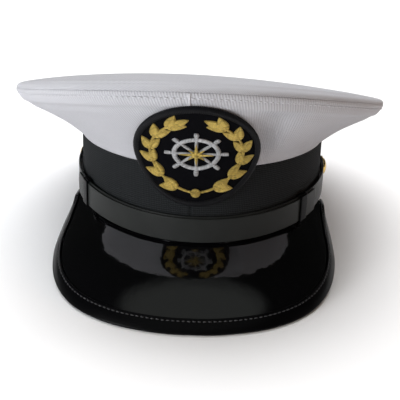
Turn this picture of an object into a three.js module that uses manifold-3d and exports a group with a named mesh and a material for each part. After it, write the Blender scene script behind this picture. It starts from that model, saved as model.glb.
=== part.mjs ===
// A peaked sailor cap: a white cloth crown stretched over a hoop, a black band, a patent leather
// peak, a double chin strap with two keepers and two gilt buttons, and an embroidered oval badge.
// Millimetres. The cap is drawn upright, with the band's lower edge at height 0, its front towards
// -Y and the viewer's right at +X, and is then tilted back as it rests by itself on a table.
import * as THREE from 'three';
import { mergeVertices } from 'three/addons/utils/BufferGeometryUtils.js';
import Module from 'manifold-3d';

// Head oval, along the outside of the band
const headHalfWidth = 85;
const headHalfLength = 101;
const headTaper = 0.08; // share by which the oval is narrower in front than behind

// Band
const bandHeight = 46;
const bandCloth = 2.4;

// Crown
const rimSideOverhang = 40.9;
const rimFrontOverhang = 35;
const rimBackOverhang = 35;
const rimFrontRise = 50.4; // rim seam above the band's upper edge
const rimSideRise = 25.5;
const rimBackRise = 15;
const rimTaper = 0.04;
const rimShift = -2.3; // the hoop sits a little to one side
const rimBackLean = 3; // the back of the hoop is higher on the left by this much
const rollHeight = 3.4; // top cloth above the rim seam
const rollInset = 4;
const crownDome = 1;
const crownCloth = 1.6;
const crownSeamAngle = -1.3; // degrees from the centre line

// Peak
const peakReach = 44.4; // furthest reach beyond the band
const peakDrop = 43; // front edge below the band's lower edge
const peakHalfAngle = 88;
const peakRestAngle = 27; // the edge lies on the table this far round
const peakCornerLift = 20.9;
const peakCrown = 2.6; // how far the peak bulges between its root and its edge
const peakTurn = -0.7; // degrees from the centre line
const peakSkew = 0.035; // share by which the peak reaches further on its left front, and less on its right
const peakLeather = 1.6;
const bindingWidth = 8;
const bindingLeather = 0.7;

// Chin strap
const strapInnerWidth = 16;
const strapOuterWidth = 15;
const strapLeather = 1;
const strapRise = 9; // rise from the front to the sides
const strapFrontStand = 0.6; // clear of the band
const strapSideStand = 1.9;
const strapTipLeft = -73;
const strapTipRight = 65;
const strapTipLength = 12; // degrees of strap beyond each keeper
const keeperWidth = 5.5;
const keeperLeather = 0.8;

// Buttons
const buttonAngle = 101;
const buttonTurn = -2; // degrees from the centre line
const buttonRadius = 7.5;
const buttonDome = 4.2;
const buttonRim = 1.1;
const shankRadius = 2;

// Badge
const badgeHalfWidth = 37.4;
const badgeHalfHeight = 38.4;
const badgeFoot = 23; // lower edge of the badge above the band's lower edge
const badgeShift = -1;
const badgeBend = 14; // half the length of the bend from the band to the crown
const badgeFelt = 2;
const borderWidth = 4;
const borderHeight = 3.2;
const threadHeight = 1;
const stemInset = 10.8; // from the badge's edge, at its sides
const stemFootInset = 8.9; // and at its foot
const stemWidth = 1.6;
const leafLength = 11.4;
const leafWidth = 5.4;
const leafSpread = 28;
const leafPairs = 6;
const wheelRadius = 12.5;
const wheelRim = 2.8;
const spokeWidth = 2;
const spokeReach = 18;
const hubRadius = 3;
const starRadius = 9.5;
const tieRadius = 2.8;

// Fits
const seat = 0.3; // gap between pieces that touch
const restFlat = 0.6; // depth to which cloth and leather flatten on the table
const turnSteps = 60; // facets once round the cap

const radians = THREE.MathUtils.degToRad;
const backToFront = 2 * headHalfLength + peakReach;
const restTilt = Math.atan2(peakDrop, backToFront);
const tableUp = new THREE.Vector3(0, -Math.sin(restTilt), Math.cos(restTilt));
const tableLift = headHalfLength * Math.sin(restTilt) - restFlat;

const wasm = await Module();
wasm.setup();

// Tables: each row's shares are of the named sizes that its columns follow.

// Crown side from the band (row 0) to the rim seam: share of the overhang and of the rise
const sideProfile = [
  { sideOut: 0, sideUp: 0, frontOut: 0, frontUp: 0 },
  { sideOut: 0.04, sideUp: 0.07, frontOut: 0.07, frontUp: 0.09 },
  { sideOut: 0.15, sideUp: 0.19, frontOut: 0.24, frontUp: 0.25 },
  { sideOut: 0.33, sideUp: 0.36, frontOut: 0.46, frontUp: 0.44 },
  { sideOut: 0.56, sideUp: 0.52, frontOut: 0.68, frontUp: 0.63 },
  { sideOut: 0.8, sideUp: 0.67, frontOut: 0.87, frontUp: 0.79 },
  { sideOut: 0.93, sideUp: 0.81, frontOut: 0.95, frontUp: 0.88 },
  { sideOut: 1, sideUp: 1, frontOut: 1, frontUp: 1 },
];

// Top cloth rolling over the hoop: share of the roll's inset and of its height
const rollProfile = [
  { inset: 1, up: 1 },
  { inset: 0.55, up: 0.94 },
  { inset: 0.2, up: 0.68 },
  { inset: 0, up: 0 },
];

// Peak's reach beyond the band, from its centre to its corner
const peakOutline = [
  { at: 0, reach: 0.94 },
  { at: 0.125, reach: 0.963 },
  { at: 0.25, reach: 0.999 },
  { at: 0.375, reach: 0.985 },
  { at: 0.5, reach: 0.863 },
  { at: 0.625, reach: 0.642 },
  { at: 0.75, reach: 0.375 },
  { at: 0.875, reach: 0.154 },
  { at: 1, reach: 0.07 },
];

// Peak's section from its root to its edge
const peakSection = [0, 0.12, 0.3, 0.5, 0.75, 1];

// Materials
const cloth = (color) => new THREE.MeshStandardMaterial({ color, roughness: 0.9, metalness: 0 });
const whiteCloth = cloth(0xe6e6ee);
const blackCloth = cloth(0x1b1d1f);
const patent = new THREE.MeshStandardMaterial({ color: 0x050506, roughness: 0.06, metalness: 0 });
const strapLeatherBlack = new THREE.MeshStandardMaterial({ color: 0x232524, roughness: 0.45, metalness: 0 });
const gilt = new THREE.MeshStandardMaterial({ color: 0xc79a3c, roughness: 0.25, metalness: 1 });
const goldThread = new THREE.MeshStandardMaterial({ color: 0xc9a240, roughness: 0.5, metalness: 0.3 });
const silverThread = new THREE.MeshStandardMaterial({ color: 0xb4b4b6, roughness: 0.5, metalness: 0.3 });

// Value of a table's column at a share of the way through its rows, on a smooth curve
function smooth(table, column, at) {
  const places = table.map((row, i) => row.at ?? i);
  const curve = new THREE.CubicInterpolant(places, table.map((row) => row[column]), 1);
  return curve.evaluate(at)[0];
}

function linear(table, column, at) {
  const low = Math.min(Math.floor(at), table.length - 2);
  return THREE.MathUtils.lerp(table[low][column], table[low + 1][column], at - low);
}

// Turns a geometry's triangles so that they face out
function facingOut(geometry) {
  const { position } = geometry.attributes;
  const corners = [0, 1, 2].map(() => new THREE.Vector3());
  const index = geometry.index.array;
  let volume = 0;
  for (let i = 0; i < index.length; i += 3) {
    corners.forEach((corner, k) => corner.fromBufferAttribute(position, index[i + k]));
    volume += corners[0].dot(corners[1].cross(corners[2]));
  }
  if (volume < 0) {
    for (let i = 0; i < index.length; i += 3) {
      [index[i], index[i + 1]] = [index[i + 1], index[i]];
    }
  }
  return geometry;
}

// Moves every vertex (x, y, z) of a geometry to place(x, y, z)
function bent(geometry, place) {
  const { position } = geometry.attributes;
  for (let i = 0; i < position.count; i += 1) {
    position.setXYZ(i, ...place(position.getX(i), position.getY(i), position.getZ(i)).toArray());
  }
  geometry.deleteAttribute('normal');
  geometry.deleteAttribute('uv');
  return facingOut(mergeVertices(geometry, 1e-4));
}

// A section of (u, v) corners carried through steps, with t from 0 to 1
function swept(corners, steps, place) {
  const shape = new THREE.Shape(corners.map(([u, v]) => new THREE.Vector2(u, v)));
  return bent(new THREE.ExtrudeGeometry(shape, { depth: 1, steps, bevelEnabled: false }), place);
}

// A section of (u, v) points carried once round, with t from 0 to 1; u is a distance from the middle
function turned(points, steps, place) {
  const lathe = new THREE.LatheGeometry(points.map(([u, v]) => new THREE.Vector2(u, v)), steps);
  return bent(lathe, (x, y, z) => place(Math.hypot(x, z), y, Math.atan2(x, z) / (2 * Math.PI)));
}

// Corners of a wall along rows 0 to last: its outer side at v = 0 and its inner side at v = 1
function wallCorners(last) {
  const rows = Array.from({ length: last + 1 }, (_, i) => i);
  return [...rows.map((row) => [row, 0]), ...rows.reverse().map((row) => [row, 1])];
}

// The point at a depth under a surface of two parameters, along its outward normal
function under(surface, a, b, depth, step = 1e-3) {
  const point = surface(a, b);
  const along = surface(a + step, b).sub(surface(a - step, b));
  const across = surface(a, b + step).sub(surface(a, b - step));
  return point.addScaledVector(along.cross(across).normalize(), -depth);
}

function solid(geometry) {
  const mesh = new wasm.Mesh({
    numProp: 3,
    vertProperties: geometry.attributes.position.array,
    triVerts: geometry.index.array instanceof Uint32Array
      ? geometry.index.array
      : new Uint32Array(geometry.index.array),
  });
  return new wasm.Manifold(mesh);
}

function geometryOf(manifold) {
  const mesh = manifold.getMesh();
  const geometry = new THREE.BufferGeometry();
  geometry.setAttribute('position', new THREE.BufferAttribute(mesh.vertProperties, 3));
  geometry.setIndex(new THREE.BufferAttribute(mesh.triVerts, 1));
  return geometry;
}

// Lifts a point that would lie below the table onto it, as cloth and leather flatten
function settled(point) {
  const height = point.dot(tableUp) + tableLift;
  return height < 0 ? point.addScaledVector(tableUp, -height) : point;
}

// Head oval: angle in radians from the front, positive to the right
function oval(angle, out, z) {
  const narrowing = 1 - headTaper * Math.cos(angle);
  const alongX = headHalfWidth * (Math.cos(angle) * narrowing + headTaper * Math.sin(angle) ** 2);
  const alongY = headHalfLength * Math.sin(angle);
  const normal = new THREE.Vector2(alongY, -alongX).normalize();
  return new THREE.Vector3(
    headHalfWidth * Math.sin(angle) * narrowing + normal.x * out,
    -headHalfLength * Math.cos(angle) + normal.y * out,
    z,
  );
}

// Rim seam, along the hoop
function rim(angle, inset, up) {
  const front = Math.cos(angle);
  const overhang = front > 0 ? rimFrontOverhang : rimBackOverhang;
  const halfWidth = headHalfWidth + rimSideOverhang;
  const slope = (rimFrontRise - rimBackRise) / 2;
  const warp = (rimFrontRise + rimBackRise) / 2 - rimSideRise;
  const lean = rimBackLean * Math.sin(angle) * (1 - front) / 2;
  return new THREE.Vector3(
    rimShift + (halfWidth - inset) * Math.sin(angle) * (1 - rimTaper * front),
    -(headHalfLength + overhang - inset) * front,
    bandHeight + rimSideRise + slope * front + warp * front ** 2 - lean + up,
  );
}

// Crown side: row 0 at the band and the last row at the rim seam
const lastSideRow = sideProfile.length - 1;
function crownSide(angle, row) {
  const frontShare = Math.max(0, Math.cos(angle)) ** 1.5;
  const column = (side, front) => THREE.MathUtils.lerp(
    linear(sideProfile, side, THREE.MathUtils.clamp(row, 0, lastSideRow)),
    linear(sideProfile, front, THREE.MathUtils.clamp(row, 0, lastSideRow)),
    frontShare,
  );
  const foot = oval(angle, 0, bandHeight + seat);
  const edge = rim(angle, 0, -seat / 2);
  const out = column('sideOut', 'frontOut');
  const up = column('sideUp', 'frontUp');
  return new THREE.Vector3(
    THREE.MathUtils.lerp(foot.x, edge.x, out),
    THREE.MathUtils.lerp(foot.y, edge.y, out),
    THREE.MathUtils.lerp(foot.z, edge.z, up),
  );
}

function crownSideHalf(direction) {
  const halfGap = seat / 2 / headHalfLength;
  return swept(wallCorners(lastSideRow), turnSteps / 2, (row, depth, t) => {
    const sweep = THREE.MathUtils.lerp(halfGap, Math.PI - halfGap, t);
    const angle = radians(crownSeamAngle) + direction * sweep;
    const inset = depth * crownCloth;
    const outer = crownSide(angle, row);
    const next = crownSide(angle, Math.min(row + 0.5, lastSideRow));
    const last = crownSide(angle, Math.max(row - 0.5, 0));
    const run = Math.hypot(next.x - last.x, next.y - last.y);
    const rise = next.z - last.z;
    const outward = new THREE.Vector2(next.x - last.x, next.y - last.y).normalize();
    const length = Math.hypot(run, rise);
    // the wall's ends are level, at the band and at the rim seam
    const level = row === 0 || row === lastSideRow;
    const back = level ? inset : inset * rise / length;
    const lift = level ? 0 : inset * run / length;
    return new THREE.Vector3(outer.x - outward.x * back, outer.y - outward.y * back, outer.z + lift);
  });
}

// Crown top: row 0 to 1 runs from the middle to the roll, and the further rows round the roll
function foldHeight(angle) {
  return rim(angle, 0, rollHeight).z;
}

const middleHeight = [0, 1, 2, 3].reduce((sum, k) => sum + foldHeight(k * Math.PI / 2) / 4, 0);

function crownTop(angle, row) {
  if (row > 1) {
    const inset = rollInset * linear(rollProfile, 'inset', row - 1);
    return rim(angle, inset, rollHeight * linear(rollProfile, 'up', row - 1) + seat / 2);
  }
  const odd = (foldHeight(angle) - foldHeight(angle + Math.PI)) / 2;
  const even = (foldHeight(angle) + foldHeight(angle + Math.PI)) / 2 - middleHeight;
  const edge = rim(angle, rollInset, 0);
  const middle = rim(0, rollInset, 0).add(rim(Math.PI, rollInset, 0)).multiplyScalar(0.5);
  return new THREE.Vector3(
    THREE.MathUtils.lerp(middle.x, edge.x, row),
    THREE.MathUtils.lerp(middle.y, edge.y, row),
    middleHeight + odd * row + even * row ** 2 + crownDome * (1 - row ** 2) + seat / 2,
  );
}

function makeCrownTop() {
  const rows = [0, 0.3, 0.6, 0.85, 1];
  const rolls = rollProfile.map((_, i) => i + 1).slice(1);
  const outer = [...rows, ...rolls];
  const profile = [...outer.map((row) => [row, 0]), ...outer.reverse().map((row) => [row, 1])];
  const lastRow = rollProfile.length;
  return turned(profile, turnSteps, (row, depth, t) => {
    const angle = 2 * Math.PI * t;
    const point = crownTop(angle, row);
    if (row > 1) {
      const share = (row - 1) / (lastRow - 1);
      const inward = new THREE.Vector2(point.x, point.y).normalize().multiplyScalar(crownCloth * share);
      point.x -= depth * inward.x;
      point.y -= depth * inward.y;
      point.z -= depth * crownCloth * (1 - share);
      return point;
    }
    point.z -= depth * crownCloth;
    return point;
  });
}

// Band
function makeBand() {
  const inner = headHalfLength - bandCloth;
  const section = [[inner, 0], [headHalfLength, 0], [headHalfLength, 1], [inner, 1], [inner, 0]];
  return turned(section, turnSteps, (reach, up, t) =>
    settled(oval(2 * Math.PI * t, reach - headHalfLength, up * bandHeight)));
}

// Peak: inward is the distance from its edge, level the height above its upper face
const tableSlope = Math.tan(restTilt);
const edgeDepth = peakLeather + seat + bindingLeather;
const edgeSlope = Math.atan2(peakDrop, peakReach) - restTilt + 4 * peakCrown / Math.hypot(peakDrop, peakReach);
const edgeSit = edgeDepth * Math.cos(edgeSlope) - bindingLeather / 2;

function peakShare(angle) {
  return Math.min(1, Math.abs(angle - radians(peakTurn)) / radians(peakHalfAngle));
}

function peakEdge(angle) {
  const reach = peakReach * smooth(peakOutline, 'reach', peakShare(angle)) * (1 - peakSkew * Math.sin(2 * angle));
  const point = oval(angle, reach, 0);
  const beyond = Math.max(0, radians(peakHalfAngle) * peakShare(angle) - radians(peakRestAngle));
  const lift = peakCornerLift * (beyond / radians(peakHalfAngle - peakRestAngle)) ** 2;
  const table = -(headHalfLength - point.y) * tableSlope + restFlat / Math.cos(restTilt);
  point.z = Math.min(table + (edgeSit + lift) / Math.cos(restTilt), -seat - peakLeather);
  return point;
}

function peakFace(angle, share) {
  const root = oval(angle, -bandCloth / 2, -seat);
  const edge = peakEdge(angle);
  const bulge = 4 * peakCrown * share * (1 - share) * smooth(peakOutline, 'reach', peakShare(angle));
  const out = new THREE.Vector2(edge.x - root.x, edge.y - root.y);
  const run = out.length();
  const drop = root.z - edge.z;
  const length = Math.hypot(run, drop);
  out.normalize();
  const point = root.lerp(edge, share);
  point.x += out.x * bulge * drop / length;
  point.y += out.y * bulge * drop / length;
  point.z += bulge * run / length;
  return point;
}

function peakPoint(angle, inward, level) {
  const width = peakWidth(angle);
  const face = peakFace(angle, 1 - inward / width);
  const before = peakFace(angle, 0.98 - inward / width);
  const slope = Math.atan2(before.z - face.z, Math.hypot(face.x - before.x, face.y - before.y));
  const out = new THREE.Vector2(face.x - before.x, face.y - before.y).normalize();
  return settled(new THREE.Vector3(
    face.x + out.x * level * Math.sin(slope),
    face.y + out.y * level * Math.sin(slope),
    face.z + level * Math.cos(slope),
  ));
}

const peakSteps = 36;
function peakAngle(t) {
  return radians(THREE.MathUtils.lerp(peakTurn - peakHalfAngle, peakTurn + peakHalfAngle, t));
}

function peakWidth(angle) {
  return peakEdge(angle).distanceTo(oval(angle, -bandCloth / 2, -seat));
}

function makePeak() {
  return swept(wallCorners(peakSection.length - 1), peakSteps, (row, depth, t) => {
    const angle = peakAngle(t);
    return peakPoint(angle, (1 - peakSection[row]) * peakWidth(angle), -depth * peakLeather);
  });
}

// Strip folded round the peak's edge: corners run along its outer side and back along its inner
function makeBinding() {
  const skin = seat + bindingLeather;
  const below = -peakLeather - seat;
  const corners = [
    [1, skin], [0, skin], [-skin, 0], [-skin, -peakLeather],
    [0, below - bindingLeather], [1, below - bindingLeather],
    [1, below], [0, below], [-seat, -peakLeather], [-seat, 0], [0, seat], [1, seat],
  ];
  return swept(corners, peakSteps, (inward, level, t) => {
    const angle = peakAngle(t);
    const reach = inward > 0 ? inward * Math.min(bindingWidth, peakWidth(angle) * 0.33) : inward;
    return peakPoint(angle, reach, level);
  });
}

// Chin strap
function strapPoint(angle, out, up) {
  const stand = THREE.MathUtils.lerp(strapFrontStand, strapSideStand, Math.sin(angle) ** 2);
  return oval(angle, stand + out, strapRise * (1 - Math.cos(angle)) + up);
}

// Degrees of the head oval that a length takes at an angle
function degreesFor(length, angle) {
  const step = 0.5;
  const chord = oval(radians(angle + step), 0, 0).distanceTo(oval(radians(angle - step), 0, 0));
  return length * 2 * step / chord;
}

function strapLayer(from, to, level, width, steps) {
  const section = [[level, 0], [level + strapLeather, 0], [level + strapLeather, width], [level, width]];
  return swept(section, steps, (out, up, t) => strapPoint(radians(THREE.MathUtils.lerp(from, to, t)), out, up));
}

const outerLevel = strapLeather + seat;
const strapEnd = buttonAngle + degreesFor(buttonRadius + 2, buttonAngle);

function buttonAxis(side) {
  const angle = radians(side * buttonAngle + buttonTurn);
  const inner = strapPoint(angle, 0, strapInnerWidth / 2);
  const outer = strapPoint(angle, strapLeather, strapInnerWidth / 2);
  return { seatPoint: outer, outward: outer.clone().sub(inner).normalize() };
}

function along(geometry, from, outward) {
  const turn = new THREE.Quaternion().setFromUnitVectors(new THREE.Vector3(0, 1, 0), outward);
  return geometry.applyQuaternion(turn).translate(from.x, from.y, from.z);
}

function makeStrapInner() {
  let strap = solid(strapLayer(buttonTurn - strapEnd, buttonTurn + strapEnd, 0, strapInnerWidth, 56));
  for (const side of [-1, 1]) {
    const { seatPoint, outward } = buttonAxis(side);
    const hole = new THREE.CylinderGeometry(shankRadius + seat, shankRadius + seat, 4 * strapLeather, 12);
    const cutter = along(hole, seatPoint, outward);
    strap = strap.subtract(solid(bent(cutter, (x, y, z) => new THREE.Vector3(x, y, z))));
  }
  return geometryOf(strap);
}

function makeKeeper(tip) {
  const middle = tip - Math.sign(tip) * strapTipLength;
  const half = degreesFor(keeperWidth, middle) / 2;
  const gap = seat;
  const inner = { low: -gap, high: strapInnerWidth + gap, near: -gap, far: outerLevel + strapLeather + gap };
  const wall = keeperLeather;
  const corner = wall / 2;
  const shape = new THREE.Shape([
    [inner.near - wall, inner.low - wall + corner], [inner.near - wall + corner, inner.low - wall],
    [inner.far + wall - corner, inner.low - wall], [inner.far + wall, inner.low - wall + corner],
    [inner.far + wall, inner.high + wall - corner], [inner.far + wall - corner, inner.high + wall],
    [inner.near - wall + corner, inner.high + wall], [inner.near - wall, inner.high + wall - corner],
  ].map(([u, v]) => new THREE.Vector2(u, v)));
  shape.holes.push(new THREE.Path([
    [inner.near, inner.low], [inner.near, inner.high], [inner.far, inner.high], [inner.far, inner.low],
  ].map(([u, v]) => new THREE.Vector2(u, v))));
  const loop = new THREE.ExtrudeGeometry(shape, { depth: 1, steps: 2, bevelEnabled: false });
  return bent(loop, (out, up, t) =>
    strapPoint(radians(THREE.MathUtils.lerp(middle - half, middle + half, t)), out, up));
}

// Button: a dome with a rolled rim and a plain shank, drawn along +Y from the strap's face
function makeButton() {
  const foot = -strapLeather - strapSideStand + seat;
  const profile = [
    [0, foot], [shankRadius, foot], [shankRadius, seat], [buttonRadius - 0.4, seat],
    [buttonRadius, seat + buttonRim / 2], [buttonRadius - 0.3, seat + buttonRim],
  ];
  const domeSteps = 4;
  const domeRadius = buttonRadius - 0.9;
  for (let i = 0; i <= domeSteps; i += 1) {
    const angle = (Math.PI / 2) * (i / domeSteps);
    profile.push([domeRadius * Math.cos(angle), seat + buttonRim + (buttonDome - buttonRim) * Math.sin(angle)]);
  }
  profile[profile.length - 1][0] = 0;
  return turned(profile, 16, (radius, y, t) =>
    new THREE.Vector3(radius * Math.sin(2 * Math.PI * t), y, radius * Math.cos(2 * Math.PI * t)));
}

// Front of the cloth: the point of the band or the crown's side at a place across and a height
function bisect(low, high, isBelow) {
  let [from, to] = [low, high];
  for (let i = 0; i < 20; i += 1) {
    const middle = (from + to) / 2;
    [from, to] = isBelow(middle) ? [middle, to] : [from, middle];
  }
  return (from + to) / 2;
}

function clothAt(angle, z) {
  if (z <= bandHeight + seat) {
    return oval(angle, 0, z);
  }
  return crownSide(angle, bisect(0, lastSideRow, (row) => crownSide(angle, row).z < z));
}

function clothFront(x, z) {
  return clothAt(bisect(-Math.PI / 3, Math.PI / 3, (angle) => clothAt(angle, z).x < x), z);
}

// Badge: across and up are measured on its back, up from the band's upper edge. It is bent once,
// between the upright band and the leaning front of the crown, and is pushed just clear of both.
const leaning = sideProfile[5];
const frontSlope = Math.atan2(rimFrontOverhang * leaning.frontOut, rimFrontRise * leaning.frontUp);
const bendRadius = 2 * badgeBend / frontSlope;
const badgeMiddle = badgeFoot + badgeHalfHeight - bandHeight;
const bandRadius = (headHalfWidth * (1 - headTaper)) ** 2 / headHalfLength;
const rimRadius = ((headHalfWidth + rimSideOverhang) * (1 - rimTaper)) ** 2
  / (headHalfLength + rimFrontOverhang);
const badgeStiffness = 1.1; // the badge curves across less than the cloth, by this factor

function badgeFace(across, up) {
  const turn = THREE.MathUtils.clamp((up + badgeBend) / bendRadius, 0, frontSlope);
  const beyond = Math.max(0, up - badgeBend);
  const below = Math.min(0, up + badgeBend);
  const forward = bendRadius * (1 - Math.cos(turn)) + beyond * Math.sin(frontSlope);
  const rise = bendRadius * Math.sin(turn) + beyond * Math.cos(frontSlope) + below - badgeBend;
  const share = THREE.MathUtils.clamp(forward / rimFrontOverhang, 0, 1);
  const radius = THREE.MathUtils.lerp(bandRadius, rimRadius, share) * badgeStiffness;
  return new THREE.Vector3(
    badgeShift + across * (1 - (across / radius) ** 2 / 6),
    -headHalfLength - forward + across ** 2 / (2 * radius),
    bandHeight + rise,
  );
}

function ellipse(share, t, inset) {
  return [
    share * (badgeHalfWidth - inset) * Math.sin(2 * Math.PI * t),
    share * (badgeHalfHeight - inset) * Math.cos(2 * Math.PI * t),
  ];
}

// Furthest that the cloth comes ahead of the badge's face, over the whole badge
function clothAhead() {
  let furthest = -Infinity;
  for (const share of [0, 0.4, 0.7, 0.9, 1]) {
    for (let k = 0; k < 24; k += 1) {
      const [across, up] = ellipse(share, k / 24, 0);
      const point = badgeFace(across, up + badgeMiddle);
      furthest = Math.max(furthest, point.y - clothFront(point.x, point.z).y);
    }
  }
  return furthest;
}

const badgeStand = clothAhead() + 2 * seat;

function badgePoint(across, up, level) {
  const point = under(badgeFace, across, up + badgeMiddle, -level, 0.01);
  point.y -= badgeStand;
  return point;
}

const badgeSteps = 40;
function makePad() {
  const inset = borderWidth + seat;
  const profile = [[0, 0], [0.5, 0], [1, 0]];
  const faceRows = 6;
  for (let row = faceRows; row >= 0; row -= 1) {
    profile.push([row / faceRows, badgeFelt]);
  }
  return turned(profile, badgeSteps, (share, level, t) => badgePoint(...ellipse(share, t, inset), level));
}

function makeBorder() {
  const section = [[0, 0], [borderWidth, 0]];
  const arcSteps = 4;
  for (let i = 0; i <= arcSteps; i += 1) {
    const angle = Math.PI * (i / arcSteps);
    section.push([borderWidth * (1 + Math.cos(angle)) / 2, borderHeight * (1 + 2 * Math.sin(angle)) / 3]);
  }
  section.push([0, 0]);
  const hub = 10; // any distance from the turning axis
  return turned(section.map(([u, v]) => [hub + u, v]), badgeSteps, (u, level, t) =>
    badgePoint(...ellipse(1, t, borderWidth - (u - hub)), level));
}

// Raised thread, drawn flat and then laid on the pad
const threadFloor = badgeFelt + seat;
function laid(manifold) {
  return bent(geometryOf(manifold), badgePoint);
}

// A flat-backed blade from one point to another, widest in the middle
function blade(from, to, width, steps = 4, end = 0.15) {
  const axis = new THREE.Vector2().subVectors(to, from);
  const side = new THREE.Vector2(-axis.y, axis.x).normalize();
  return solid(swept([[-1, 0], [1, 0], [0, 1]], steps, (u, v, t) => {
    const fat = end + (1 - end) * Math.sin(Math.PI * t ** 0.8);
    const middle = from.clone().addScaledVector(axis, t).addScaledVector(side, u * fat * width / 2);
    return new THREE.Vector3(middle.x, middle.y, threadFloor + threadHeight * v * (0.4 + 0.6 * fat));
  }));
}

// Stem of one spray: from the tie at the foot, up the side
function stem(side, share) {
  const angle = radians(THREE.MathUtils.lerp(177, 24, share));
  const inset = THREE.MathUtils.lerp(stemFootInset, stemInset, Math.min(1, 2.5 * share));
  return new THREE.Vector2(
    side * (badgeHalfWidth - stemInset) * Math.sin(angle),
    (badgeHalfHeight - inset) * Math.cos(angle),
  );
}

function makeWreath(side) {
  const stalk = solid(swept([[-1, 0], [1, 0], [0, 1]], 14, (u, v, t) => {
    const middle = stem(side, t);
    const ahead = stem(side, t + 0.01).sub(middle).normalize();
    return new THREE.Vector3(
      middle.x - ahead.y * u * stemWidth / 2,
      middle.y + ahead.x * u * stemWidth / 2,
      threadFloor + threadHeight * v * 0.9,
    );
  }));
  const leaf = (share, spread, size) => {
    const root = stem(side, share);
    const ahead = stem(side, share + 0.02).sub(root).normalize();
    const heading = ahead.rotateAround(new THREE.Vector2(), radians(spread));
    return blade(root, root.clone().addScaledVector(heading, leafLength * size), leafWidth * size);
  };
  const leaves = [leaf(0.97, 0, 0.8)];
  for (let i = 0; i < leafPairs; i += 1) {
    const share = (i + 0.8) / (leafPairs + 0.4);
    const spread = THREE.MathUtils.lerp(4, leafSpread, Math.min(1, 1.8 * share));
    leaves.push(leaf(share, side * spread, 1), leaf(share, -side * leafSpread, 1));
  }
  return laid(leaves.reduce((whole, piece) => whole.add(piece), stalk));
}

function disc(radius, height, sides, floor, y = 0) {
  return solid(turned([[0, 0], [radius, 0], [radius * 0.8, 0.8], [0, 1]], sides, (reach, v, t) =>
    new THREE.Vector3(
      reach * Math.sin(2 * Math.PI * t),
      y + reach * Math.cos(2 * Math.PI * t),
      floor + height * v,
    )));
}

const upperFloor = threadFloor + threadHeight + seat;
function makeTie() {
  return laid(disc(tieRadius, threadHeight, 14, upperFloor, stem(1, 0).y));
}

function makeWheel() {
  const section = [[-0.5, 0], [0.5, 0], [0.25, 1], [-0.25, 1], [-0.5, 0]];
  const ring = solid(turned(section.map(([u, v]) => [wheelRadius + u * wheelRim, v]), 28, (reach, v, t) =>
    new THREE.Vector3(
      reach * Math.sin(2 * Math.PI * t),
      reach * Math.cos(2 * Math.PI * t),
      threadFloor + threadHeight * v,
    )));
  const hub = disc(hubRadius, threadHeight, 8, threadFloor);
  const spokes = Array.from({ length: 8 }, (_, i) => {
    const heading = new THREE.Vector2(0, 1).rotateAround(new THREE.Vector2(), (i * Math.PI) / 4);
    const root = heading.clone().multiplyScalar(hubRadius * 0.6);
    return blade(root, heading.multiplyScalar(spokeReach), spokeWidth, 3, 0.7);
  });
  return laid(spokes.reduce((whole, spoke) => whole.add(spoke), ring.add(hub)));
}

function makeStar() {
  const points = Array.from({ length: 16 }, (_, i) => {
    const reach = [1, 0.3, 0.68, 0.3][i % 4] * starRadius;
    return new THREE.Vector2(0, reach).rotateAround(new THREE.Vector2(), (i * Math.PI) / 8);
  });
  const plate = new THREE.ExtrudeGeometry(new THREE.Shape(points), {
    depth: threadHeight, steps: 1, bevelEnabled: false,
  });
  return laid(solid(bent(plate, (x, y, z) => new THREE.Vector3(x, y, z + upperFloor))));
}

const cap = new THREE.Group();
cap.rotation.x = -restTilt;

function add(name, geometry, material) {
  geometry.computeVertexNormals();
  const mesh = new THREE.Mesh(geometry, material);
  mesh.name = name;
  cap.add(mesh);
  return mesh;
}

add('crown_top', makeCrownTop(), whiteCloth);
add('crown_side_left', crownSideHalf(-1), whiteCloth);
add('crown_side_right', crownSideHalf(1), whiteCloth);
add('band', makeBand(), blackCloth);

add('peak', makePeak(), patent);
add('peak_binding', makeBinding(), patent);

add('strap_inner', makeStrapInner(), strapLeatherBlack);
add('strap_outer', strapLayer(strapTipLeft, strapTipRight, outerLevel, strapOuterWidth, 40), strapLeatherBlack);
add('keeper_left', makeKeeper(strapTipLeft), strapLeatherBlack);
add('keeper_right', makeKeeper(strapTipRight), strapLeatherBlack);

for (const [name, side] of [['button_left', -1], ['button_right', 1]]) {
  const { seatPoint, outward } = buttonAxis(side);
  const button = add(name, makeButton(), gilt);
  button.position.copy(seatPoint);
  button.quaternion.setFromUnitVectors(new THREE.Vector3(0, 1, 0), outward);
}

add('badge_pad', makePad(), blackCloth);
add('badge_border', makeBorder(), blackCloth);
add('badge_wreath_left', makeWreath(-1), goldThread);
add('badge_wreath_right', makeWreath(1), goldThread);
add('badge_tie', makeTie(), goldThread);
add('badge_wheel', makeWheel(), silverThread);
add('badge_star', makeStar(), goldThread);

// The origin is on the table, under the middle of the cap's box
const sailorCap = new THREE.Group();
sailorCap.add(cap);
sailorCap.updateMatrixWorld(true);
const box = new THREE.Box3().setFromObject(cap, true);
const middle = box.getCenter(new THREE.Vector3());
cap.position.set(-middle.x, -middle.y, -box.min.z);

export default sailorCap;
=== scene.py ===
"""Looks of a peaked sailor cap: white twill crown, ribbed black band, patent leather peak, satin
chin strap, gilt buttons and an embroidered badge, laid over the cap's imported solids."""
import bisect
import functools
import math

import bmesh
import bpy
from mathutils import Euler, Matrix, Vector, noise


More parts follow.
